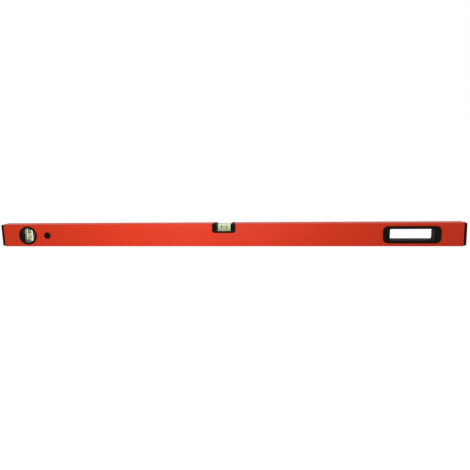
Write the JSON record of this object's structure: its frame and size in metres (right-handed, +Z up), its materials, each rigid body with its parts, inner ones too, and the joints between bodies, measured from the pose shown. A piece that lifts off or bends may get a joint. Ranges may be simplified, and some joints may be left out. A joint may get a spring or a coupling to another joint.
{
  "type": "spirit level",
  "caption": "Long red box-section spirit level with black end caps, a top centre vial, a round plumb vial, a hanging eye and a hand grip; the bubbles slide in their vials.",
  "frame": {"origin": "middle of the base measuring face, on the middle plane of the beam", "axes": "+X along the beam from the plumb vial's end to the hand grip's end, +Y from the front face to the rear face, +Z up from the base to the top measuring face"},
  "size_m": [1, 0.0264, 0.049],
  "materials": {
    "red_paint": "semi-gloss red powder coat on aluminium",
    "black_cap": "satin black moulding",
    "black_insert": "satin black moulding",
    "clear_acrylic": "clear polished acrylic",
    "green_fluid": "clear yellow-green liquid",
    "air_bubble": "clear",
    "black_ring": "matt black line",
    "vial_plug": "frosted moulding"
  },
  "bodies": {
    "level": {"beam_profile": "red_paint", "left_end_cap": "black_cap", "right_end_cap": "black_cap", "plumb_front_housing": "black_insert", "plumb_rear_housing": "black_insert", "plumb_vial_block": "clear_acrylic", "plumb_vial_fluid": "green_fluid", "plumb_gauge_ring_upper": "black_ring", "plumb_gauge_ring_lower": "black_ring", "plumb_vial_plug": "vial_plug", "eye_front_bush": "black_insert", "eye_rear_bush": "black_insert", "centre_front_holder": "black_insert", "centre_rear_holder": "black_insert", "centre_vial_block": "clear_acrylic", "centre_vial_fluid": "green_fluid", "centre_gauge_ring_left": "black_ring", "centre_gauge_ring_right": "black_ring", "centre_vial_plug": "vial_plug", "grip_front_shell": "black_insert", "grip_rear_shell": "black_insert"},
    "centre_bubble": {"centre_vial_bubble": "air_bubble"},
    "plumb_bubble": {"plumb_vial_bubble": "air_bubble"}
  },
  "joints": [
    {"name": "centre_bubble_slide", "type": "slide", "parent": "level", "child": "centre_bubble", "axis": [1, 0, 0], "range_m": [-0.009, 0.009], "stiffness_N_per_m": 0.4, "deforming": ["centre_vial_fluid"]},
    {"name": "plumb_bubble_slide", "type": "slide", "parent": "level", "child": "plumb_bubble", "axis": [0, 0, 1], "range_m": [-0.018, 0], "stiffness_N_per_m": 0.4, "springref_m": 0.03, "deforming": ["plumb_vial_fluid"]}
  ]
}
